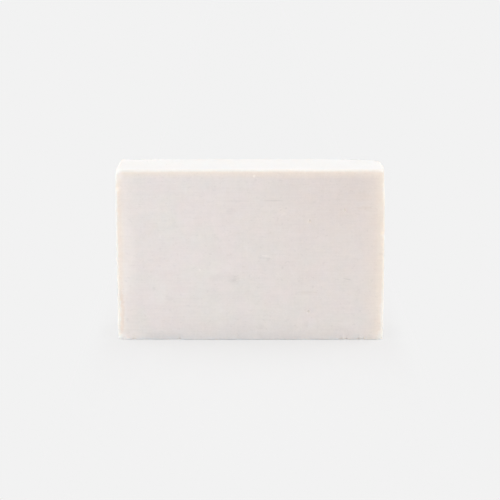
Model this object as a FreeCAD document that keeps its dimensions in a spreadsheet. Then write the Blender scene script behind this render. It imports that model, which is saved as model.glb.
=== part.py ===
"""A bar of handmade soap: one slice of a poured loaf, standing on one of its long narrow sides.

X runs along the bar's length, Y through its thickness and Z up its height, in millimetres.
The origin lies under the middle of the bar, on the surface that the bar stands on.
The front is the broad face that looks along -Y.
"""

import FreeCAD, Part
import os
import Sketcher

NODE = "soap_bar"

# Every size of the bar, in millimetres, with what it measures.
SIZES = {
    "bar_length": (85.0, "end to end, along X"),
    "bar_thickness": (25.0, "between the two cut faces, along Y"),
    "bar_height": (55.0, "foot to top, along Z"),
    "upright_round": (0.9, "radius of the three crisp upright edges"),
    "worn_round": (3.0, "radius of the back right upright edge, rubbed off by handling"),
    "top_round": (0.9, "radius all round the top face"),
    "foot_round": (0.5, "radius all round the foot, the sharpest rim"),
}


def make_sheet(doc):
    """The sheet of sizes: a name, a plain number and a note in each row."""
    sheet = doc.addObject("Spreadsheet::Sheet", "sizes")
    for row, (name, (value, note)) in enumerate(SIZES.items(), start=1):
        sheet.set(f"A{row}", name)
        sheet.set(f"B{row}", str(value))
        sheet.setAlias(f"B{row}", name)
        sheet.set(f"C{row}", note)
    doc.recompute()
    return sheet


def origin_plane(body, role):
    """One of the body's own three origin planes."""
    return next(f for f in body.Origin.OriginFeatures if f.Role == role)


def make_plan_sketch(body, sheet):
    """The bar seen from above: a rectangle centred on the origin."""
    sketch = body.newObject("Sketcher::SketchObject", "plan_outline")
    sketch.AttachmentSupport = [(origin_plane(body, "XY_Plane"), "")]
    sketch.MapMode = "FlatFace"

    half_length, half_thickness = sheet.bar_length / 2, sheet.bar_thickness / 2
    corners = [
        FreeCAD.Vector(-half_length, -half_thickness, 0),
        FreeCAD.Vector(half_length, -half_thickness, 0),
        FreeCAD.Vector(half_length, half_thickness, 0),
        FreeCAD.Vector(-half_length, half_thickness, 0),
    ]
    front, right, back, left = (
        sketch.addGeometry(Part.LineSegment(start, end), False)
        for start, end in zip(corners, corners[1:] + corners[:1])
    )
    first, last, root = 1, 2, -1
    for line, following in ((front, right), (right, back), (back, left), (left, front)):
        sketch.addConstraint(Sketcher.Constraint("Coincident", line, last, following, first))
    for line in (front, back):
        sketch.addConstraint(Sketcher.Constraint("Horizontal", line))
    for line in (right, left):
        sketch.addConstraint(Sketcher.Constraint("Vertical", line))
    sketch.addConstraint(Sketcher.Constraint("Symmetric", front, first, back, first, root, first))

    length = sketch.addConstraint(Sketcher.Constraint("Distance", front, sheet.bar_length))
    sketch.renameConstraint(length, "length")
    sketch.setExpression("Constraints.length", "sizes.bar_length")
    thickness = sketch.addConstraint(Sketcher.Constraint("Distance", right, sheet.bar_thickness))
    sketch.renameConstraint(thickness, "thickness")
    sketch.setExpression("Constraints.thickness", "sizes.bar_thickness")
    return sketch


def make_block(body, sketch):
    """The sharp-edged slice, from the foot up."""
    block = body.newObject("PartDesign::Pad", "block")
    block.Profile = sketch
    block.setExpression("Length", "sizes.bar_height")
    return block


def edges_of(feature, wanted):
    """Names of the feature's edges whose bounding box passes the wanted test."""
    return [
        f"Edge{number}"
        for number, edge in enumerate(feature.Shape.Edges, start=1)
        if wanted(edge.BoundBox)
    ]


def round_edges(body, name, base, wanted, radius_alias):
    """Rounds those edges of the base feature, by a radius from the sheet."""
    names = edges_of(base, wanted)
    if not names:
        raise RuntimeError(f"{name}: no edge to round")
    fillet = body.newObject("PartDesign::Fillet", name)
    fillet.Base = (base, names)
    fillet.setExpression("Radius", f"sizes.{radius_alias}")
    body.Document.recompute()
    return fillet


def is_upright(box):
    """True for an edge that rises more than it runs sideways."""
    return box.ZLength > max(box.XLength, box.YLength)


def is_worn(box):
    """True for the upright edge at the back right."""
    return is_upright(box) and box.Center.x > 0 and box.Center.y > 0


def is_crisp(box):
    """True for the three other upright edges, which the worn one leaves whole."""
    return is_upright(box) and (box.Center.x < 0 or box.Center.y < 0)


def lies_above(level):
    """A test for edges that lie wholly above that height."""
    return lambda box: box.ZMin > level


def lies_below(level):
    """A test for edges that lie wholly below that height."""
    return lambda box: box.ZMax < level


def make_bar(doc, sheet):
    """The whole bar: the slice, then its upright edges, then its two rims."""
    body = doc.addObject("PartDesign::Body", NODE)
    body.Label = NODE
    block = make_block(body, make_plan_sketch(body, sheet))
    doc.recompute()

    worn = round_edges(body, "worn_edge", block, is_worn, "worn_round")
    crisp = round_edges(body, "crisp_edges", worn, is_crisp, "upright_round")
    middle = sheet.bar_height / 2
    top = round_edges(body, "top_rim", crisp, lies_above(middle), "top_round")
    round_edges(body, "foot_rim", top, lies_below(middle), "foot_round")
    return body


def check(doc, bar):
    """Stops on a failed feature or an unsound solid."""
    for thing in doc.Objects:
        if any(word in thing.State for word in ("Invalid", "Error")):
            raise RuntimeError(f"{thing.Name} failed: {thing.State}")
    if bar.Shape.isNull() or not bar.Shape.isValid() or len(bar.Shape.Solids) != 1:
        raise RuntimeError(f"{bar.Label} is not one sound solid")


def main():
    doc = FreeCAD.newDocument("soap")
    sheet = make_sheet(doc)
    bar = make_bar(doc, sheet)
    doc.recompute()
    check(doc, bar)

    os.makedirs("parts", exist_ok=True)
    bar.Shape.exportStep(f"parts/{bar.Label}.step")
    box = bar.Shape.optimalBoundingBox(False, False)
    print(f"{bar.Label}: {box.XLength:.2f} x {box.YLength:.2f} x {box.ZLength:.2f} mm,")
    print(f"{bar.Shape.Volume / 1000:.2f} cm3, {len(bar.Shape.Faces)} faces")


main()
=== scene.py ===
# %% [markdown]
# # A bar of handmade soap
#
# The object is one slice of a poured loaf of soap, with no wrapper and no stamp. Its likeness rests on three
# things: true proportions, edges that a knife and a few hands have left a little uneven, and a pale waxy body
# that lets some light in. We work in that order: the block, its wear, its finish, and a quiet white studio.

# %% The frame that the bar has to fit
import math
import random

import bpy
import numpy as np
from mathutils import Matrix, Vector


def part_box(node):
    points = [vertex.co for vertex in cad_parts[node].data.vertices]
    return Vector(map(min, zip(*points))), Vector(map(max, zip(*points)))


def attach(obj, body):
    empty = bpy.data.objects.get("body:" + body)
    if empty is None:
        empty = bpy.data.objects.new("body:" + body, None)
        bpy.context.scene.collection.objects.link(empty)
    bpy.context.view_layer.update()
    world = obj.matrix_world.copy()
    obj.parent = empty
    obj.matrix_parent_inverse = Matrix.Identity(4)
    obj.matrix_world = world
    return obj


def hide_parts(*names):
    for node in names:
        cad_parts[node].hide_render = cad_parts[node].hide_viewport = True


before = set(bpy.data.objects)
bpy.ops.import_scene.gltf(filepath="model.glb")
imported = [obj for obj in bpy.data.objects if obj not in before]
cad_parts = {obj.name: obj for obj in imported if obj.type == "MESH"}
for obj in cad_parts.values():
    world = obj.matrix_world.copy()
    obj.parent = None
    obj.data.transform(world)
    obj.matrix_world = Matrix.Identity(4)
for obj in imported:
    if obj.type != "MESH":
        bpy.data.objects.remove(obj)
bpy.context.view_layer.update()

MM = 0.001
bar_low, bar_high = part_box("soap_bar")
half_length, half_thickness, height = bar_high.x, bar_high.y, bar_high.z
print(f"The bar is {2000 * half_length:.1f} x {2000 * half_thickness:.1f} x {1000 * height:.1f} mm")

# %% [markdown]
# ## The camera first
#
# A likeness starts with the viewpoint. The picture was taken from a little above, straight at the broad cut
# face, through a long lens: the two sides of the bar hardly converge. A long lens from 56 cm gives that.

# %% The camera
FRAME_PIXELS = 500
CAMERA_TARGET = Vector((-0.08, 0.0, 26.87)) * MM
CAMERA_DISTANCE = 557 * MM
CAMERA_ELEVATION = math.radians(11.01)
CAMERA_AZIMUTH = math.radians(-0.16)
CAMERA_LENS = 123.85
SENSOR_WIDTH = 36.0

towards_camera = Vector((
    math.sin(CAMERA_AZIMUTH) * math.cos(CAMERA_ELEVATION),
    -math.cos(CAMERA_AZIMUTH) * math.cos(CAMERA_ELEVATION),
    math.sin(CAMERA_ELEVATION),
))
bpy.ops.object.camera_add(
    location=CAMERA_TARGET + CAMERA_DISTANCE * towards_camera,
    rotation=(-towards_camera).to_track_quat("-Z", "Y").to_euler(),
)
camera = bpy.context.object
camera.name = "camera"
camera.data.sensor_width = SENSOR_WIDTH
camera.data.lens = CAMERA_LENS
bpy.context.scene.camera = camera
pixels_per_mm = CAMERA_LENS / SENSOR_WIDTH * FRAME_PIXELS / (CAMERA_DISTANCE / MM)
print(f"At the bar, one millimetre covers {pixels_per_mm:.2f} pixels")

# %% [markdown]
# ## The block
#
# The real slice is a box, so we start from a cube at its size. What makes it soap is in its edges. Three
# upright edges are crisp, and the back right one is rubbed rounder. Each gets its own bevel, uprights first
# and then the two rims, so that every rim follows the rounded corners under it.

# %% Picking vertices, edges and faces by their place
def open_for_editing(piece, kind):
    """Makes the piece the only selected one, and opens it in that select mode with nothing in it selected."""
    if bpy.context.object and bpy.context.object.mode != "OBJECT":
        bpy.ops.object.mode_set(mode="OBJECT")
    bpy.ops.object.select_all(action="DESELECT")
    bpy.context.view_layer.objects.active = piece
    piece.select_set(True)
    bpy.ops.object.mode_set(mode="EDIT")
    bpy.ops.mesh.select_mode(type=kind)
    bpy.ops.mesh.select_all(action="DESELECT")
    bpy.ops.object.mode_set(mode="OBJECT")


def select_edges(piece, wanted):
    """Selects the edges whose two ends pass the test, leaves the piece in edit mode, and counts them."""
    open_for_editing(piece, "EDGE")
    places = [vertex.co.copy() for vertex in piece.data.vertices]
    count = 0
    for edge in piece.data.edges:
        edge.select = wanted(*(places[index] for index in edge.vertices))
        count += edge.select
    bpy.ops.object.mode_set(mode="EDIT")
    return count


def select_faces(piece, wanted):
    """Selects the faces whose centre passes the test, leaves the piece in edit mode, and counts them."""
    open_for_editing(piece, "FACE")
    count = 0
    for face in piece.data.polygons:
        face.select = wanted(face.center)
        count += face.select
    bpy.ops.object.mode_set(mode="EDIT")
    return count


# %% A cube at the size of the slice
bpy.ops.object.select_all(action="DESELECT")
bpy.ops.mesh.primitive_cube_add(size=1, location=(bar_low + bar_high) / 2, scale=bar_high - bar_low)
bar = bpy.context.object
bar.name = "soap_slice"
bpy.ops.object.transform_apply(location=True, rotation=True, scale=True)
print(f"{bar.name}: {len(bar.data.vertices)} corners")

# %% The rounded edges
CRISP_ROUND = 1.0 * MM
WORN_ROUND = 3.0 * MM
TOP_ROUND = 0.95 * MM
FOOT_ROUND = 0.2 * MM
ROUND_STEPS = 6
HAIR = 0.01 * MM


def is_upright(a, b):
    return abs(a.x - b.x) < HAIR and abs(a.y - b.y) < HAIR


def is_worn(a, b):
    return is_upright(a, b) and a.x > half_length - HAIR and a.y > half_thickness - HAIR


def is_crisp(a, b):
    at_corner = abs(a.x) > half_length - HAIR and abs(a.y) > half_thickness - HAIR
    return is_upright(a, b) and at_corner and not is_worn(a, b)


def is_top(a, b):
    return a.z > height - HAIR and b.z > height - HAIR


def is_foot(a, b):
    return a.z < HAIR and b.z < HAIR


ROUNDS = {is_crisp: CRISP_ROUND, is_worn: WORN_ROUND, is_top: TOP_ROUND, is_foot: FOOT_ROUND}
for wanted, radius in ROUNDS.items():
    found = select_edges(bar, wanted)
    bpy.ops.mesh.bevel(offset_type="OFFSET", offset=radius, segments=ROUND_STEPS, affect="EDGES")
    print(f"{wanted.__name__}: {found} edges rounded to {radius / MM} mm")
bpy.ops.mesh.select_all(action="SELECT")
bpy.ops.mesh.remove_doubles(threshold=HAIR)
bpy.ops.object.mode_set(mode="OBJECT")

# %% [markdown]
# ## A finer net
#
# Small wear needs small faces. A subdivision of the whole block would leave long thin faces, so we slice the
# block just inside its rounded corners instead, which gives all its long faces four sides, and then divide
# the long edges along each axis. The faces end up about half a millimetre wide, and finer near the foot,
# which is where a slice crumbles as it is cut and handled.

# %% Slices
FOOT_ZONE = 4.0 * MM
SLICES = (
    (Vector((half_length - CRISP_ROUND, 0, 0)), (1, 0, 0)),
    (Vector((half_length - WORN_ROUND, 0, 0)), (1, 0, 0)),
    (Vector((CRISP_ROUND - half_length, 0, 0)), (1, 0, 0)),
    (Vector((WORN_ROUND - half_length, 0, 0)), (1, 0, 0)),
    (Vector((0, half_thickness - CRISP_ROUND, 0)), (0, 1, 0)),
    (Vector((0, half_thickness - WORN_ROUND, 0)), (0, 1, 0)),
    (Vector((0, CRISP_ROUND - half_thickness, 0)), (0, 1, 0)),
    (Vector((0, WORN_ROUND - half_thickness, 0)), (0, 1, 0)),
    (Vector((0, 0, FOOT_ZONE)), (0, 0, 1)),
)
for place, normal in SLICES:
    select_edges(bar, lambda a, b: True)
    bpy.ops.mesh.bisect(plane_co=place, plane_no=normal)
    bpy.ops.object.mode_set(mode="OBJECT")
print(f"{len(SLICES)} slices, {len(bar.data.polygons)} faces")


# %% Divisions
def divide(piece, axis, longer_than, cuts, below=math.inf):
    """Divides the edges that run along that axis, are longer than that, and lie below that height."""
    others = [other for other in range(3) if other != axis]

    def wanted(a, b):
        straight = all(abs(a[other] - b[other]) < HAIR for other in others)
        return straight and abs(a[axis] - b[axis]) > longer_than and max(a.z, b.z) < below

    found = select_edges(piece, wanted)
    bpy.ops.mesh.subdivide(number_cuts=cuts)
    bpy.ops.object.mode_set(mode="OBJECT")
    print(f"axis {'XYZ'[axis]}: {found} edges longer than {longer_than / MM:.1f} mm, {cuts} cuts each")


def triangles(piece):
    """How many triangles the piece's faces make."""
    return sum(len(face.vertices) - 2 for face in piece.data.polygons)


X, Y, Z = 0, 1, 2
# Each is an axis, the length in millimetres over which its edges are divided, and the cuts in each.
DIVISIONS = (
    (X, 30, 1),
    (X, 30, 79),
    (X, 1, 3),
    (Z, 30, 1),
    (Z, 20, 49),
    (Z, 2, 11),
    (Y, 10, 31),
    (Y, 1, 3),
)
for axis, longer_than, cuts in DIVISIONS:
    divide(bar, axis, longer_than * MM, cuts)

FOOT_EDGE = 0.4 * MM
FINE_FOOT = 1.4 * MM
divide(bar, X, FOOT_EDGE, cuts=1, below=FINE_FOOT)
print(f"{len(bar.data.polygons)} faces, {triangles(bar)} triangles")

# %% [markdown]
# ## Pinholes and knocks
#
# Beating and pouring leave small air bubbles in soap, and the wire opens a few of them as pinholes. Later the
# edges take knocks from other bars. We could cut both out with booleans, but soap gives way softly, so a
# push with proportional editing is nearer to it: the skin moves whole under the knock and less and less
# around it. The net is divided further only where such a dent is small.

# %% The places of the dents
FRONT = -half_thickness
FRONT_PINHOLES = ((18.6, 38.55), (18.5, 9.22), (29.65, 41.9))
FOOT_NICKS = (-37.0, -22.6, 28.9, 30.7, 34.6, 36.3)
NICK_HEIGHT = 0.15 * MM
front_pinholes = [Vector((x * MM, FRONT, z * MM)) for x, z in FRONT_PINHOLES]
foot_nicks = [Vector((x * MM, FRONT, NICK_HEIGHT)) for x in FOOT_NICKS]

# The pinholes of the other faces are left to chance, between these limits in millimetres.
LENGTHWISE = (-38, 38)
THROUGH = (-9, 9)
UP_THE_BACK = (5, 50)
UP_THE_ENDS = (6, 48)
BACK_COUNT = 6
TOP_COUNT = 3
chance = random.Random(12)
back_pinholes = [
    Vector((chance.uniform(*LENGTHWISE) * MM, half_thickness, chance.uniform(*UP_THE_BACK) * MM))
    for _ in range(BACK_COUNT)
]
top_pinholes = [
    Vector((chance.uniform(*LENGTHWISE) * MM, chance.uniform(*THROUGH) * MM, height))
    for _ in range(TOP_COUNT)
]
end_pinholes = [
    Vector((side * half_length, chance.uniform(*THROUGH) * MM, chance.uniform(*UP_THE_ENDS) * MM))
    for side in (-1, 1)
]
pinholes = front_pinholes + back_pinholes + top_pinholes + end_pinholes
print(f"{len(pinholes)} pinholes, {len(foot_nicks)} nicks along the front of the foot")


# %% Finer faces round the small dents
def is_near(spots, reach):
    """A test for a place that lies within reach of one of the spots."""
    return lambda place: any((place - spot).length < reach for spot in spots)


FINER_WITHIN = (1.0 * MM, 0.6 * MM)
for reach in FINER_WITHIN:
    found = select_faces(bar, is_near(pinholes + foot_nicks, reach))
    bpy.ops.mesh.subdivide(number_cuts=1)
    bpy.ops.object.mode_set(mode="OBJECT")
    print(f"{found} faces within {reach / MM:.1f} mm of a small dent divided")
print(f"{triangles(bar)} triangles")


# %% Pushing the skin
def places_of(piece):
    """The places of the piece's vertices, one row for each."""
    flat = np.empty(3 * len(piece.data.vertices))
    piece.data.vertices.foreach_get("co", flat)
    return flat.reshape(-1, 3)


def press(piece, spots, push, touch, reach):
    """Pushes the vertices within touch of a spot, and less and less the ones out to reach from them."""
    open_for_editing(piece, "VERT")
    places = places_of(piece)
    touched = np.zeros(len(places), bool)
    for spot in spots:
        touched |= np.linalg.norm(places - np.array(spot), axis=1) < touch
    piece.data.vertices.foreach_set("select", touched)
    bpy.ops.object.mode_set(mode="EDIT")
    bpy.ops.transform.translate(
        value=push, use_proportional_edit=True, proportional_edit_falloff="SMOOTH", proportional_size=reach,
    )
    bpy.ops.object.mode_set(mode="OBJECT")
    return int(touched.sum())


PINHOLE_DEPTH = 0.35 * MM
PINHOLE_TOUCH = 0.15 * MM
PINHOLE_REACH = 0.42 * MM
for name, spots, push in (
    ("front", front_pinholes, (0, PINHOLE_DEPTH, 0)),
    ("back", back_pinholes, (0, -PINHOLE_DEPTH, 0)),
    ("top", top_pinholes, (0, 0, -PINHOLE_DEPTH)),
    ("left end", end_pinholes[:1], (PINHOLE_DEPTH, 0, 0)),
    ("right end", end_pinholes[1:], (-PINHOLE_DEPTH, 0, 0)),
):
    moved = press(bar, spots, push, PINHOLE_TOUCH, PINHOLE_REACH)
    print(f"{name}: {len(spots)} pinholes, {moved} vertices at their bottoms")


# %% Spots under the knocks
def along(start, end, count):
    """Evenly spaced spots from start to end, both given in millimetres."""
    first, last = Vector(start) * MM, Vector(end) * MM
    return [first.lerp(last, step / (count - 1)) for step in range(count)]


def at(x, y, z):
    """One spot, given in millimetres."""
    return [Vector((x, y, z)) * MM]


front_foot = along((-42, -12.4, 0.2), (42, -12.4, 0.2), 85)
left_foot = along((-41.5, -12.4, 0.2), (-23.5, -12.4, 0.2), 19)
low_left_edge = along((-42.2, -12.2, 1), (-42.2, -12.2, 24), 24)
low_right_edge = along((42.2, -12.2, 1), (42.2, -12.2, 14), 14)
high_left_edge = along((-42.2, -12.2, 50.5), (-42.2, -12.2, 54.5), 5)
middle_right_edge = along((42.3, -12.3, 24), (42.3, -12.3, 36), 13)
high_right_edge = along((42.3, -12.3, 52), (42.3, -12.3, 54.5), 4)
top_left_end = along((-42, -12, 54.9), (-42, 12, 54.9), 25)
top_back_right = along((33, 11, 54.9), (41, 11, 54.9), 9)
print(f"{len(front_foot)} spots along the front of the foot, and fewer along eight shorter stretches")

# %% Knocks, rubs and slumps
# Each has its spots, and in millimetres its push, how far it touches and how far it is felt.
knocks = {
    "nicks along the front of the foot": (foot_nicks, (0, 0.35, 0.2), 0.15, 0.5),
    "front of the foot, eased by the cut": (front_foot, (0, 0.12, 0), 0.7, 5.0),
    "left of the front foot, rubbed": (left_foot, (0, 0.45, 0), 0.7, 1.8),
    "left front edge, rubbed near the foot": (low_left_edge, (0.15, 0.52, 0), 0.6, 2.6),
    "left front edge, rubbed near the top": (high_left_edge, (-0.1, 0.4, 0), 0.6, 2.0),
    "right front edge, rubbed near the foot": (low_right_edge, (0, 0.4, 0), 0.6, 2.2),
    "right front edge, left proud in the middle": (middle_right_edge, (0.12, 0, 0), 0.6, 7.0),
    "right front edge, leaning in near the top": (high_right_edge, (-0.28, 0.1, 0), 0.6, 9.0),
    "left front edge, knocked": (at(-42.24, -12.24, 49.05), (0.4, 0.3, 0), 0.4, 1.0),
    "right front edge, knocked": (at(42.24, -12.24, 34.2), (-0.35, 0.3, 0), 0.4, 1.0),
    "back left edge, knocked": (at(-42.24, 12.24, 21.0), (0.4, -0.4, 0), 0.5, 1.6),
    "back top edge, knocked": (at(11.0, 12.3, 54.8), (0, -0.4, -0.4), 0.5, 1.8),
    "front top left corner, rubbed": (at(-42.1, -12.1, 54.6), (0.12, 0.2, -0.2), 0.6, 2.0),
    "front top right corner, rubbed": (at(42.1, -12.1, 54.6), (-0.25, 0.25, -0.3), 0.6, 3.0),
    "back top right corner, rubbed": (at(41.3, 10.3, 54.9), (0, 0, -0.35), 1.0, 5.0),
    "top back right, slumped": (top_back_right, (0, 0, -0.28), 1.0, 12),
    "top left end, slumped": (top_left_end, (0, 0, -0.15), 0.8, 40),
}
fresh_places = places_of(bar)
for name, (spots, push, touch, reach) in knocks.items():
    moved = press(bar, spots, Vector(push) * MM, touch * MM, reach * MM)
    print(f"{name}: {moved} vertices under the knock")

# %% [markdown]
# ## A skin that is never quite flat
#
# A wire pulled by hand through soft soap wanders, drags a faint ripple along its way, and leaves the rims a
# little ragged, and the skin shrinks unevenly as the bar dries. Sculpting would do, but a cloud pattern in a
# Displace modifier gives all four and stays the same each time. Each has a vertex group that says where it
# may act, and an empty as a guide that can stretch its pattern along the bar.

# %% How far each vertex lies from the floor, the faces and an edge
wear_places = places_of(bar)
from_foot = wear_places[:, Z]
to_faces = np.stack([
    half_length - np.abs(wear_places[:, X]),
    half_thickness - np.abs(wear_places[:, Y]),
    np.minimum(from_foot, height - from_foot),
])
from_edge = np.sort(to_faces, axis=0)[1]
print(f"the middle of the front lies {from_edge.max() / MM:.1f} mm from the nearest edge")


# %% Where each pattern may act
def fade(values, start, end):
    """A smooth weight that goes from 0 at start to 1 at end, both given in millimetres."""
    share = np.clip((values - start * MM) / (end * MM - start * MM), 0, 1)
    return share * share * (3 - 2 * share)


UPPER_RAGGEDNESS = 0.55
near_edges = fade(from_edge, start=1.8, end=0.2)
near_foot = fade(from_foot, start=3, end=0.5)
at_left = fade(wear_places[:, X], start=-30, end=-38)
at_top = fade(from_foot, start=50, end=53)
ragged = UPPER_RAGGEDNESS + (1 - UPPER_RAGGEDNESS) * near_foot + at_left * at_top
weights = {
    "off_the_foot": fade(from_foot, start=0.3, end=5),
    "off_the_foot_face": fade(from_foot, start=0, end=0.5),
    "cut_faces": fade(to_faces[Y], start=0.6, end=0.2),
    "rims": np.clip(near_edges * ragged, 0, 1),
}
for name, values in weights.items():
    group = bar.vertex_groups.new(name=name)
    for index, value in enumerate(values):
        group.add([index], float(value), "REPLACE")
    print(f"{name}: mean weight {values.mean():.2f}")


# %% Four patterns
def roughen(piece, name, grain, depth, group, level=1.0, stretch=1.0):
    """Moves the skin by a cloud pattern of that grain and depth: where the cloud is below level, inwards."""
    bpy.ops.object.empty_add(location=(0, 0, 0))
    guide = bpy.context.object
    guide.scale.x = stretch
    bpy.context.view_layer.update()
    clouds = bpy.data.textures.new(name, "CLOUDS")
    clouds.noise_scale = grain
    clouds.noise_depth = 2
    modifier = piece.modifiers.new(name, "DISPLACE")
    modifier.texture = clouds
    modifier.texture_coords = "OBJECT"
    modifier.texture_coords_object = guide
    modifier.vertex_group = group
    modifier.strength = depth
    modifier.mid_level = level
    bpy.context.view_layer.objects.active = piece
    bpy.ops.object.modifier_apply(modifier=name)
    bpy.data.objects.remove(guide)
    print(f"{name}: grain {grain / MM:.1f} mm, {depth / MM:.2f} mm deep")


roughen(bar, "drying", grain=24 * MM, depth=0.25 * MM, group="off_the_foot", level=0.5)
roughen(bar, "ragged_rims", grain=1.3 * MM, depth=0.3 * MM, group="rims", level=0.6)

# %% What sticks out is worn off again
wanted_low, wanted_high = np.array(bar_low), np.array(bar_high)
places = np.clip(places_of(bar), wanted_low, wanted_high)
bar.data.vertices.foreach_set("co", places.ravel())
bar.data.update()
roughen(bar, "wire_ripple", grain=0.9 * MM, depth=0.08 * MM, group="cut_faces", stretch=16)
roughen(bar, "skin", grain=1.4 * MM, depth=0.05 * MM, group="off_the_foot_face", level=0.8)
bar.vertex_groups.clear()

# %% [markdown]
# ## Back to its measured size
#
# All this has moved the skin by a few hundredths of a millimetre. The bar's size was measured over the
# highest points of each face, so we flatten what sticks out below the foot, and then scale the rest to reach
# the sides of the frame's box again.

# %% Foot and size
places = places_of(bar)
places[:, Z] = np.maximum(places[:, Z], 0.0)
low, high = places.min(axis=0), places.max(axis=0)
places = wanted_low + (places - low) * (wanted_high - wanted_low) / (high - low)
bar.data.vertices.foreach_set("co", places.ravel())
bar.data.update()
print(f"worn to {np.round((high - low) / MM, 2)} mm")
print(f"set to {np.round((wanted_high - wanted_low) / MM, 2)} mm")

# %% How far each point lies from an edge and from the top
for name, values in (("from_edge", from_edge), ("below_top", height - fresh_places[:, Z])):
    attribute = bar.data.attributes.new(name, "FLOAT", "POINT")
    attribute.data.foreach_set("value", (values / MM).astype(np.float32))
    print(f"{name}: {values.min() / MM:.1f} to {values.max() / MM:.1f} mm")

open_for_editing(bar, "VERT")
bpy.ops.object.shade_smooth()

# %% [markdown]
# ## The finish: cold process soap
#
# Cold process soap is oil and lye stirred, poured, cut and cured for weeks. It is a pale, waxy solid with a
# dull sheen, and light goes a few millimetres into it, red the furthest, so its edges glow warm and its
# shadows are soft. That is a Principled shader with subsurface scattering, an IOR near that of wax and a
# roughness of about a half. Air gives it a whiter bloom on top. Its colour also carries painted shade, darker
# and browner towards the top right corner and greyer along the foot, and painted light along its ends and
# edges.

# %% Helpers for materials
def hex_colour(code):
    """A colour written as #RRGGBB, as linear red, green, blue and alpha."""
    channels = [int(code[i:i + 2], 16) / 255 for i in (1, 3, 5)]
    return [c / 12.92 if c <= 0.04045 else ((c + 0.055) / 1.055) ** 2.4 for c in channels] + [1.0]


def add_node(tree, kind, inputs=None, **settings):
    """Adds a node with its settings, and sets or links its inputs."""
    node = tree.nodes.new(kind)
    for name, value in settings.items():
        setattr(node, name, value)
    for socket, value in (inputs or {}).items():
        if isinstance(value, bpy.types.NodeSocket):
            tree.links.new(value, node.inputs[socket])
        else:
            node.inputs[socket].default_value = value
    return node


def new_material(name):
    """A material with an empty node tree, and its output node."""
    material = bpy.data.materials.new(name)
    material.use_nodes = True
    material.node_tree.nodes.clear()
    return material, add_node(material.node_tree, "ShaderNodeOutputMaterial")


# %% Where the patterns lie
soap, soap_output = new_material("cold_process_soap")
tree = soap.node_tree
place = add_node(tree, "ShaderNodeTexCoord").outputs["Object"]
BROAD_GRAIN, BROAD_WANDER = 18 * MM, 10 * MM
FINE_GRAIN, FINE_WANDER = 1.2 * MM, 1.6 * MM
broad_noise = add_node(tree, "ShaderNodeTexNoise", {"Vector": place, "Scale": 1 / BROAD_GRAIN, "Detail": 1.0})
fine_noise = add_node(tree, "ShaderNodeTexNoise", {"Vector": place, "Scale": 1 / FINE_GRAIN, "Detail": 2.0})


def wander(tree, noise, reach):
    """The place moved about by the noise, so that a pattern drawn there has no straight edge."""
    centred = add_node(
        tree, "ShaderNodeVectorMath", {0: noise.outputs["Color"], 1: (0.5, 0.5, 0.5)}, operation="SUBTRACT",
    ).outputs[0]
    return add_node(
        tree, "ShaderNodeVectorMath", {0: centred, 1: [reach] * 3, 2: place}, operation="MULTIPLY_ADD",
    ).outputs[0]


broad_place = wander(tree, broad_noise, BROAD_WANDER)
fine_place = wander(tree, fine_noise, FINE_WANDER)
print(f"patterns wander by up to {BROAD_WANDER / MM:.0f} mm and {FINE_WANDER / MM:.1f} mm")

# %% Painted shade: the colour darker and browner towards the top right corner
BODY_PINK = hex_colour("#F5EDEB")
BODY_GREY = hex_colour("#F3EEEA")
PAINTED_SHADE_TONE = hex_colour("#EEE3DE")
PAINTED_SHADE_MIDDLE = Vector((32.0, -12.5, 50.0)) * MM
PAINTED_SHADE_REACH = 58 * MM
PAINTED_SHADE_FALLOFF = 1.2
HUE_GRAIN = 9 * MM
PINK_UNTIL, GREY_FROM = 0.35, 0.65
hue_noise = add_node(tree, "ShaderNodeTexNoise", {"Vector": place, "Scale": 1 / HUE_GRAIN, "Detail": 1.0})
hue = add_node(tree, "ShaderNodeMapRange", {
    "Value": hue_noise.outputs["Fac"],
    "From Min": PINK_UNTIL,
    "From Max": GREY_FROM,
}).outputs["Result"]
body = add_node(tree, "ShaderNodeMix", {0: hue, 6: BODY_PINK, 7: BODY_GREY}, data_type="RGBA").outputs[2]
from_middle = add_node(tree, "ShaderNodeVectorMath", {0: broad_place, 1: PAINTED_SHADE_MIDDLE}, operation="DISTANCE")
painted_shade_share = add_node(tree, "ShaderNodeMapRange", {
    "Value": from_middle.outputs["Value"],
    "From Min": PAINTED_SHADE_REACH,
    "From Max": 0.0,
}).outputs["Result"]
painted_shade_share = add_node(tree, "ShaderNodeMath", {0: painted_shade_share, 1: PAINTED_SHADE_FALLOFF}, operation="POWER").outputs[0]
colour = add_node(tree, "ShaderNodeMix", {0: painted_shade_share, 6: body, 7: PAINTED_SHADE_TONE}, data_type="RGBA").outputs[2]
print(f"the cured tone reaches {PAINTED_SHADE_REACH / MM:.0f} mm from the top right")

# %% Painted light: a paler glow towards the two ends, warmer to the right
PAINTED_END_LIGHT = hex_colour("#FEF5F1")
PAINTED_WARM_END_LIGHT = hex_colour("#F9ECE0")
END_GLOW = 8 * MM
END_FALLOFF = 1.2
along_bar = add_node(tree, "ShaderNodeSeparateXYZ", {"Vector": place}).outputs["X"]
outwards = add_node(tree, "ShaderNodeMath", {0: along_bar}, operation="ABSOLUTE").outputs[0]
end_glow_share = add_node(tree, "ShaderNodeMapRange", {
    "Value": outwards,
    "From Min": half_length - END_GLOW,
    "From Max": half_length,
}).outputs["Result"]
end_glow_share = add_node(tree, "ShaderNodeMath", {0: end_glow_share, 1: END_FALLOFF}, operation="POWER").outputs[0]
warmth = add_node(tree, "ShaderNodeMapRange", {
    "Value": along_bar,
    "From Min": -half_length,
    "From Max": half_length,
}).outputs["Result"]
painted_end_glow = add_node(tree, "ShaderNodeMix", {0: warmth, 6: PAINTED_END_LIGHT, 7: PAINTED_WARM_END_LIGHT}, data_type="RGBA").outputs[2]
colour = add_node(tree, "ShaderNodeMix", {0: end_glow_share, 6: colour, 7: painted_end_glow}, data_type="RGBA").outputs[2]
print(f"the last {END_GLOW / MM:.0f} mm of the bar glow at each end")
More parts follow.
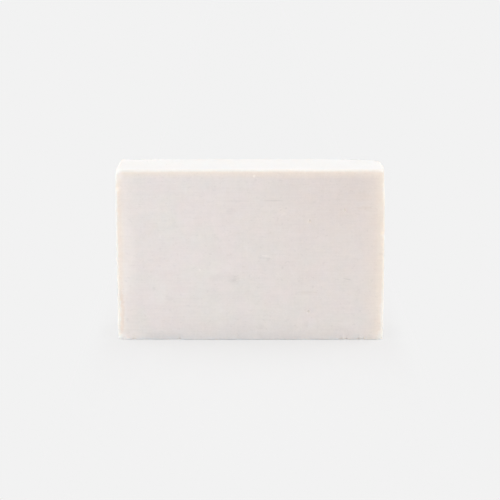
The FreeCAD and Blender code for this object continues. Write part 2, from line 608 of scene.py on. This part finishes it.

# %% A honey tint along the edges: partly the yellowing of dried edges, partly painted glow of light through them
# The widths that are set against the from_edge and below_top attributes are in millimetres, as those are.
HONEY_AND_GLOW = hex_colour("#FCF3E8")
HONEY_WIDTH = 3.0
HONEY_START, HONEY_FULL = 1.5 * MM, 4.5 * MM
from_edge_mm = add_node(tree, "ShaderNodeAttribute", attribute_name="from_edge").outputs["Fac"]
above_floor = add_node(tree, "ShaderNodeSeparateXYZ", {"Vector": place}).outputs["Z"]
honey_and_glow_share = add_node(tree, "ShaderNodeMapRange", {
    "Value": from_edge_mm,
    "From Min": HONEY_WIDTH,
    "From Max": 0.0,
}).outputs["Result"]
# The painted glow fades out near the foot, where no light comes through.
above_foot = add_node(tree, "ShaderNodeMapRange", {
    "Value": above_floor,
    "From Min": HONEY_START,
    "From Max": HONEY_FULL,
}, interpolation_type="SMOOTHSTEP").outputs["Result"]
honey_and_glow_share = add_node(
    tree, "ShaderNodeMath", {0: honey_and_glow_share, 1: above_foot}, operation="MULTIPLY",
).outputs[0]
colour = add_node(tree, "ShaderNodeMix", {0: honey_and_glow_share, 6: colour, 7: HONEY_AND_GLOW}, data_type="RGBA").outputs[2]
print(f"the honey tint is {HONEY_WIDTH} mm wide")

# %% Painted highlight: a pale rim along the rounded edges, warmer to the right
PAINTED_RIM_HIGHLIGHT = hex_colour("#F4F7F6")
PAINTED_WARM_RIM_HIGHLIGHT = hex_colour("#FBF4EA")
RIM_WIDTH = 0.75
RIM_STRENGTH = 0.9
painted_rim_highlight = add_node(tree, "ShaderNodeMix", {0: warmth, 6: PAINTED_RIM_HIGHLIGHT, 7: PAINTED_WARM_RIM_HIGHLIGHT}, data_type="RGBA").outputs[2]
rim_highlight_share = add_node(tree, "ShaderNodeMapRange", {
    "Value": from_edge_mm,
    "From Min": RIM_WIDTH,
    "From Max": RIM_WIDTH / 3,
    "To Max": RIM_STRENGTH,
}, interpolation_type="SMOOTHSTEP").outputs["Result"]
colour = add_node(tree, "ShaderNodeMix", {0: rim_highlight_share, 6: colour, 7: painted_rim_highlight}, data_type="RGBA").outputs[2]
print(f"the pale rim is {RIM_WIDTH} mm wide")

# %% A white bloom on the top and the ends
BLOOM = hex_colour("#F8F6F4")
TOP_BLOOM_START, TOP_BLOOM_FULL = 0.96, 0.16
END_BLOOM_WIDTH = 0.4 * MM
THIN_BLOOM_WIDTH = 1.5
THIN_BLOOM = 0.52
below_top_mm = add_node(tree, "ShaderNodeAttribute", attribute_name="below_top").outputs["Fac"]
on_top = add_node(tree, "ShaderNodeMapRange", {
    "Value": below_top_mm,
    "From Min": TOP_BLOOM_START,
    "From Max": TOP_BLOOM_FULL,
}).outputs["Result"]
on_ends = add_node(tree, "ShaderNodeMapRange", {
    "Value": outwards,
    "From Min": half_length - END_BLOOM_WIDTH,
    "From Max": half_length,
}).outputs["Result"]
bloom = add_node(tree, "ShaderNodeMath", {0: on_top, 1: on_ends}, operation="MAXIMUM").outputs[0]
inside_edges = add_node(tree, "ShaderNodeMapRange", {
    "Value": from_edge_mm,
    "From Max": THIN_BLOOM_WIDTH,
    "To Min": THIN_BLOOM,
    "To Max": 1.0,
}).outputs["Result"]
bloom = add_node(tree, "ShaderNodeMath", {0: bloom, 1: inside_edges}, operation="MULTIPLY").outputs[0]
colour = add_node(tree, "ShaderNodeMix", {0: bloom, 6: colour, 7: BLOOM}, data_type="RGBA").outputs[2]
print(f"bloom from {TOP_BLOOM_START} mm below the top, thinner within {THIN_BLOOM_WIDTH} mm of an edge")

# %% Soft ovals on the front face
MARK_DEPTH = 6 * MM
MARK_CORE = 0.4


def add_mark(tree, where, x, z, half_width, half_height, turn):
    """A soft oval on the front face: 1 in its core and 0 from its rim on."""
    oval = add_node(tree, "ShaderNodeMapping", {
        "Vector": where,
        "Location": (x * MM, -half_thickness, z * MM),
        "Rotation": (0, math.radians(-turn), 0),
        "Scale": (half_width * MM, MARK_DEPTH, half_height * MM),
    }, vector_type="TEXTURE").outputs["Vector"]
    radius = add_node(tree, "ShaderNodeVectorMath", {0: oval}, operation="LENGTH").outputs["Value"]
    return add_node(
        tree, "ShaderNodeMapRange", {"Value": radius, "From Min": 1.0, "From Max": MARK_CORE},
        interpolation_type="SMOOTHSTEP",
    ).outputs["Result"]


# %% Painted shade along the foot: greyer, and browner to the right
FOOT_SHADE_LEFT = hex_colour("#F3F0EF")
FOOT_SHADE_RIGHT = hex_colour("#EDE5E1")
foot_shade_share = add_mark(tree, broad_place, x=-1, z=-3, half_width=50, half_height=10, turn=0)
painted_foot_shade = add_node(
    tree, "ShaderNodeMix", {0: warmth, 6: FOOT_SHADE_LEFT, 7: FOOT_SHADE_RIGHT}, data_type="RGBA",
).outputs[2]
colour = add_node(
    tree, "ShaderNodeMix", {0: foot_shade_share, 6: colour, 7: painted_foot_shade}, data_type="RGBA",
).outputs[2]

# %% [markdown]
# ## Mottling and marks
#
# The broad face is not one tone. It is faintly mottled and specked, with drag lines along the cut, and it has
# a few grey marks from fingers and the table. Some marks are painted shade and painted light instead: shade
# in pinholes, nicks, a small crater and a wire groove, light on lips beside them, at the lower corners and
# along the left end. All of that only darkens or lightens the soap by a few hundredths, so we add it up as
# one brightness and multiply the colour by it once.

# %% Mottling in five grains
# Each has the length, depth and height of its grain in millimetres, and how much it may change the light.
GRAINS = {
    "cloudy": ((6.5, 6.5, 6.5), 0.06),
    "mottled": ((1.6, 1.6, 1.6), 0.04),
    "grainy": ((0.6, 0.6, 0.6), 0.065),
    "dragged along the cut": ((12, 12, 0.6), 0.06),
    "pulled upwards": ((0.7, 6, 9), 0.03),
}


def add_grain(tree, name, grain):
    """A noise whose grain is that long, deep and high in millimetres: 0.5 on average."""
    stretched = add_node(tree, "ShaderNodeMapping", {
        "Vector": place,
        "Scale": [size * MM for size in grain],
    }, vector_type="TEXTURE").outputs["Vector"]
    return add_node(
        tree, "ShaderNodeTexNoise", {"Vector": stretched, "Scale": 1.0, "Detail": 2.0}, label=name,
    ).outputs["Fac"]


mottling = 0.0
for name, (grain, strength) in GRAINS.items():
    pattern = add_grain(tree, name, grain)
    centred = add_node(tree, "ShaderNodeMath", {0: pattern, 1: 0.5}, operation="SUBTRACT")
    mottling = add_node(
        tree, "ShaderNodeMath", {0: centred.outputs[0], 1: strength, 2: mottling}, operation="MULTIPLY_ADD",
    ).outputs[0]
    print(f"{name}: {grain} mm, {strength}")

# %% Specks, and calmer under the bloom
SPECK_GRAIN = (1.2, 1.0, 0.7)
SPECK_START, SPECK_FULL = 0.6, 0.76
SPECK_DEPTH = 0.05
CALM = 0.35
specks = add_node(tree, "ShaderNodeMapRange", {
    "Value": add_grain(tree, "specks", SPECK_GRAIN),
    "From Min": SPECK_START,
    "From Max": SPECK_FULL,
    "To Max": SPECK_DEPTH,
}, interpolation_type="SMOOTHSTEP").outputs["Result"]
mottling = add_node(tree, "ShaderNodeMath", {0: mottling, 1: specks}, operation="SUBTRACT").outputs[0]
calm = add_node(tree, "ShaderNodeMapRange", {"Value": bloom, "To Min": 1.0, "To Max": CALM}).outputs["Result"]
brightness = add_node(
    tree, "ShaderNodeMath", {0: mottling, 1: calm, 2: 1.0}, operation="MULTIPLY_ADD",
).outputs[0]
print(f"specks: {SPECK_GRAIN} mm, {SPECK_DEPTH}")

# %% Marks on the front face
# Each is a centre (x, z), half a width and half a height, all in millimetres, a turn in degrees, and how
# much of the light it takes away, or adds where that is negative. The small ones keep a crisp outline. Most
# are grey marks; the ones noted below are painted shade or painted light.
SMALL = 0.6
MARKS = (
    (-10.5, 20.5, 3.6, 1.8, 8, 0.035),
    (-5.4, 20.0, 2.6, 2.0, 0, 0.042),
    (-4.9, 19.6, 1.2, 0.7, 0, 0.035),
    (-8.0, 16.0, 7.0, 6.5, 0, 0.012),
    (-30.5, 16.7, 0.8, 0.7, 0, 0.045),
    (-25.9, 13.7, 2.0, 1.2, 0, 0.032),
    (-39.2, 6.6, 0.7, 0.8, 0, 0.05),
    (3.1, 4.2, 2.4, 0.7, 0, 0.04),
    (13.2, 4.5, 2.2, 0.6, 0, 0.015),
    (17.9, 5.2, 1.0, 1.5, 0, 0.05),
    (18.0, 15.6, 3.4, 0.5, 0, 0.02),
    (-28.5, 33.6, 0.3, 1.1, 0, -0.04),
    (19.9, 17.3, 0.4, 0.7, 0, 0.058),
    (-0.3, 21.0, 0.35, 0.8, 0, 0.04),
    (35.2, 47.1, 3.4, 1.3, 0, 0.015),
    (35.7, 42.8, 4.0, 0.7, 0, 0.025),
    (-6.1, 41.7, 2.4, 1.4, 15, 0.035),
    (-24.6, 37.5, 1.3, 3.2, 0, 0.02),
    # Painted light: a paler band along the left end.
    (-39.5, 27.0, 4.5, 15.0, 0, -0.025),
    (15.8, 18.8, 1.2, 3.0, 0, 0.02),
    (1.15, 52.9, 0.5, 0.6, 0, -0.14),
    (3.6, 26.8, 2.2, 0.3, -10, 0.04),
    (5.6, 26.5, 0.8, 0.4, 0, 0.05),
    (4.8, 27.4, 1.6, 0.3, -5, -0.08),
    (30.9, 19.8, 2.0, 0.3, -12, 0.095),
    # Painted shade: two dark lines standing in for a shallow groove left by the wire.
    (-4.4, 45.0, 6.4, 0.3, 0, 0.03),
    (7.1, 45.1, 4.2, 0.35, 0, 0.07),
    # Painted shade and painted highlight: a small crater, dark in its hollow and light on its lip.
    (9.6, 42.1, 0.6, 0.35, 20, 0.06),
    (11.2, 42.7, 0.6, 0.35, 10, 0.08),
    (10.8, 41.4, 1.4, 0.25, 20, -0.01),
    (10.3, 40.7, 1.0, 0.25, 20, -0.04),
    # Two more marks, one darker and one lighter.
    (10.2, 23.6, 0.5, 0.6, 0, 0.065),
    (-16.0, 22.9, 0.5, 0.5, 0, -0.09),
    # Painted shade in the three front pinholes.
    (18.5, 38.45, 0.8, 0.75, 0, 0.045),
    (18.5, 9.35, 0.5, 0.45, 0, 0.2),
    (29.65, 42.15, 0.5, 0.6, 0, 0.08),
    # Painted shade in the nicks along the foot, with a painted highlight on the lip between two of them.
    (28.9, 0.8, 0.3, 1.3, 0, 0.02),
    (29.8, 1.0, 0.3, 1.5, 0, -0.045),
    (30.7, 0.6, 0.5, 1.0, 0, 0.04),
    (34.6, 0.9, 0.5, 1.5, 0, 0.05),
    (36.3, 0.7, 0.4, 1.2, 0, 0.02),
    # Painted light at the two lower corners and along the left of the foot, lifting the contact shade there.
    (-41.8, 6.0, 1.6, 9.0, 0, -0.03),
    (-41.2, 0.4, 3.2, 2.6, 0, -0.045),
    (-36.0, 1.0, 4.5, 2.4, 0, -0.04),
    (41.2, 0.8, 2.8, 3.2, 0, -0.035),
)

for x, z, half_width, half_height, turn, strength in MARKS:
    where = fine_place if min(half_width, half_height) > SMALL else place
    mark = add_mark(tree, where, x, z, half_width, half_height, turn)
    brightness = add_node(
        tree, "ShaderNodeMath", {0: mark, 1: -strength, 2: brightness}, operation="MULTIPLY_ADD",
    ).outputs[0]
print(f"{len(MARKS)} marks on the front face")

# %% Tinted places on the front face
# Each is a centre (x, z), half a width and half a height, all in millimetres, a turn in degrees, how much of
# the tint it takes, and the tint: amber on grey marks, and as painted shade along the left end and painted
# glow under the top edge; the two pale tints are painted light along the lit ends and at their corners.
AMBER = hex_colour("#F1DCCB")
PAINTED_EDGE_LIGHT = hex_colour("#FBF8F3")
PAINTED_COOL_EDGE_LIGHT = hex_colour("#FCFCFA")
TINTS = (
    # Painted light: pale, cool strips and corners along the two ends.
    (-42.5, 24.0, 1.1, 45.0, 0, 0.4, PAINTED_COOL_EDGE_LIGHT),
    (-42.4, 9.0, 1.7, 14.0, 0, 1.0, PAINTED_EDGE_LIGHT),
    (-41.8, 0.8, 2.6, 2.6, 0, 0.7, PAINTED_EDGE_LIGHT),
    (-42.4, 54.2, 2.4, 4.2, 0, 0.9, PAINTED_COOL_EDGE_LIGHT),
    (42.4, 7.0, 1.5, 13.0, 0, 0.8, PAINTED_EDGE_LIGHT),
    (42.0, 0.8, 2.2, 2.6, 0, 0.8, PAINTED_EDGE_LIGHT),
    (42.5, 49.0, 1.1, 4.5, 0, 0.6, PAINTED_EDGE_LIGHT),
    # Painted shade: a warm, darker line just inside the lit left edge.
    (-41.3, 28.0, 1.2, 26.0, 0, 0.1, AMBER),
    (-41.0, 13.0, 0.8, 5.0, 8, 0.3, AMBER),
    (-40.9, 6.0, 0.9, 5.5, -6, 0.3, AMBER),
    # Amber on the grey marks.
    (35.2, 46.5, 3.6, 2.0, 0, 0.10, AMBER),
    (36.0, 42.8, 4.0, 0.9, 0, 0.12, AMBER),
    (18.0, 15.6, 3.6, 0.9, 0, 0.08, AMBER),
    # Painted glow: a warm band under the top edge.
    (16.0, 53.4, 28.0, 1.8, 0, 0.10, AMBER),
)
for x, z, half_width, half_height, turn, share, tint in TINTS:
    spot = add_mark(tree, fine_place, x, z, half_width, half_height, turn)
    spot = add_node(tree, "ShaderNodeMath", {0: spot, 1: share}, operation="MULTIPLY").outputs[0]
    colour = add_node(tree, "ShaderNodeMix", {0: spot, 6: colour, 7: tint}, data_type="RGBA").outputs[2]
print(f"{len(TINTS)} tinted places")

# %% The surface
SHEEN_GRAIN = 3 * MM
SHEEN_LOW, SHEEN_HIGH = 0.3, 0.7
SMOOTHEST, ROUGHEST = 0.44, 0.58
PORE_GRAIN, PORE_DEPTH = 0.35 * MM, 0.04 * MM
colour = add_node(
    tree, "ShaderNodeVectorMath", {0: colour, "Scale": brightness}, operation="SCALE",
).outputs[0]
sheen_noise = add_node(tree, "ShaderNodeTexNoise", {"Vector": place, "Scale": 1 / SHEEN_GRAIN, "Detail": 3.0})
roughness = add_node(tree, "ShaderNodeMapRange", {
    "Value": sheen_noise.outputs["Fac"],
    "From Min": SHEEN_LOW,
    "From Max": SHEEN_HIGH,
    "To Min": SMOOTHEST,
    "To Max": ROUGHEST,
}).outputs["Result"]
pores = add_node(tree, "ShaderNodeTexNoise", {"Vector": place, "Scale": 1 / PORE_GRAIN, "Detail": 3.0})
relief = add_node(tree, "ShaderNodeBump", {
    "Height": pores.outputs["Fac"],
    "Strength": 1.0,
    "Distance": PORE_DEPTH,
})
surface = add_node(tree, "ShaderNodeBsdfPrincipled", {
    "Base Color": colour,
    "Roughness": roughness,
    "Normal": relief.outputs["Normal"],
    "IOR": 1.47,
    "Subsurface Weight": 0.75,
    "Subsurface Radius": (2.8 * MM, 1.7 * MM, 1.0 * MM),
    "Subsurface Scale": 1.0,
}, subsurface_method="BURLEY")
tree.links.new(surface.outputs["BSDF"], soap_output.inputs["Surface"])
bar.data.materials.append(soap)
print(f"{soap.name}: {len(tree.nodes)} nodes")

# %% [markdown]
# ## The studio
#
# The picture was taken on white paper in a lit tent: the light comes from all round, most of it from above
# and the two sides. A world that is brighter overhead and sideways gives that with no lamps, and the floor
# stays even. What the camera sees of the background is the paper's own pale grey. The shadow is made faint by
# painted light: the floor mixes some of that grey in wherever the camera looks at it, and past the ends of
# the bar it mixes in more, so that there the shadow is gone within a centimetre and it is all grey.

# %% The floor
PAPER = hex_colour("#F2F2F2")
LIT_PAPER = hex_colour("#EDEDED")
FLOOR_SIZE = 12.0
GLOW_SHARE = 0.48
SHADOW_REACH = 10 * MM
bpy.ops.object.select_all(action="DESELECT")
bpy.ops.mesh.primitive_plane_add(size=FLOOR_SIZE, location=(0, 0, 0))
floor = bpy.context.object
floor.name = "floor"
paper, paper_output = new_material("white_paper_sweep")
tree = paper.node_tree
matt = add_node(tree, "ShaderNodeBsdfDiffuse", {"Color": LIT_PAPER})
glow = add_node(tree, "ShaderNodeEmission", {"Color": PAPER, "Strength": 1.0})
floor_place = add_node(tree, "ShaderNodeTexCoord").outputs["Object"]
floor_x = add_node(tree, "ShaderNodeSeparateXYZ", {"Vector": floor_place}).outputs["X"]
past_middle = add_node(tree, "ShaderNodeMath", {0: floor_x}, operation="ABSOLUTE").outputs[0]
# Painted light: past the ends the floor's glow takes over and clears the shadow.
glow_share = add_node(tree, "ShaderNodeMapRange", {
    "Value": past_middle,
    "From Min": half_length,
    "From Max": half_length + SHADOW_REACH,
    "To Min": GLOW_SHARE,
    "To Max": 1.0,
}, interpolation_type="SMOOTHSTEP").outputs["Result"]
by_camera = add_node(tree, "ShaderNodeLightPath").outputs["Is Camera Ray"]
share = add_node(tree, "ShaderNodeMath", {0: by_camera, 1: glow_share}, operation="MULTIPLY").outputs[0]
seen_paper = add_node(tree, "ShaderNodeMixShader", {0: share, 1: matt.outputs[0], 2: glow.outputs[0]})
tree.links.new(seen_paper.outputs[0], paper_output.inputs["Surface"])
floor.data.materials.append(paper)
print(f"{floor.name}: {FLOOR_SIZE} m square")

# %% The light
HORIZON_LIGHT = 0.146
ZENITH_LIGHT = 0.785
SIDE_LIGHT = 1.18
SIDE_FOCUS = 1.5
world = bpy.data.worlds.new("studio")
bpy.context.scene.world = world
world.use_nodes = True
tree = world.node_tree
tree.nodes.clear()
direction = add_node(tree, "ShaderNodeTexCoord").outputs["Generated"]
parts = add_node(tree, "ShaderNodeSeparateXYZ", {"Vector": direction}).outputs
overhead = add_node(tree, "ShaderNodeMath", {0: parts["Z"], 1: 0.0}, operation="MAXIMUM").outputs[0]
sideways = add_node(tree, "ShaderNodeMath", {0: parts["X"]}, operation="ABSOLUTE").outputs[0]
sideways = add_node(tree, "ShaderNodeMath", {0: sideways, 1: SIDE_FOCUS}, operation="POWER").outputs[0]
light = add_node(
    tree, "ShaderNodeMath", {0: overhead, 1: ZENITH_LIGHT, 2: HORIZON_LIGHT}, operation="MULTIPLY_ADD",
).outputs[0]
light = add_node(
    tree, "ShaderNodeMath", {0: sideways, 1: SIDE_LIGHT, 2: light}, operation="MULTIPLY_ADD",
).outputs[0]
light_path = add_node(tree, "ShaderNodeLightPath").outputs
seen = add_node(tree, "ShaderNodeMath", {0: light_path["Is Camera Ray"], 1: light_path["Is Glossy Ray"]})
seen = add_node(
    tree, "ShaderNodeMath", {0: seen.outputs[0], 1: light_path["Is Transmission Ray"]}, use_clamp=True,
).outputs[0]
studio_light = add_node(tree, "ShaderNodeBackground", {"Color": (1, 1, 1, 1), "Strength": light})
backdrop = add_node(tree, "ShaderNodeBackground", {"Color": PAPER, "Strength": 1.0})
either = add_node(
    tree, "ShaderNodeMixShader", {0: seen, 1: studio_light.outputs[0], 2: backdrop.outputs[0]},
)
add_node(tree, "ShaderNodeOutputWorld", {"Surface": either.outputs[0]})
bpy.context.scene.view_settings.view_transform = "Standard"
print(f"light of {HORIZON_LIGHT} all round, {ZENITH_LIGHT} more overhead, {SIDE_LIGHT} more from the sides")

# %% Handing the bar over to the frame
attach(bar, "root")
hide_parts("soap_bar")
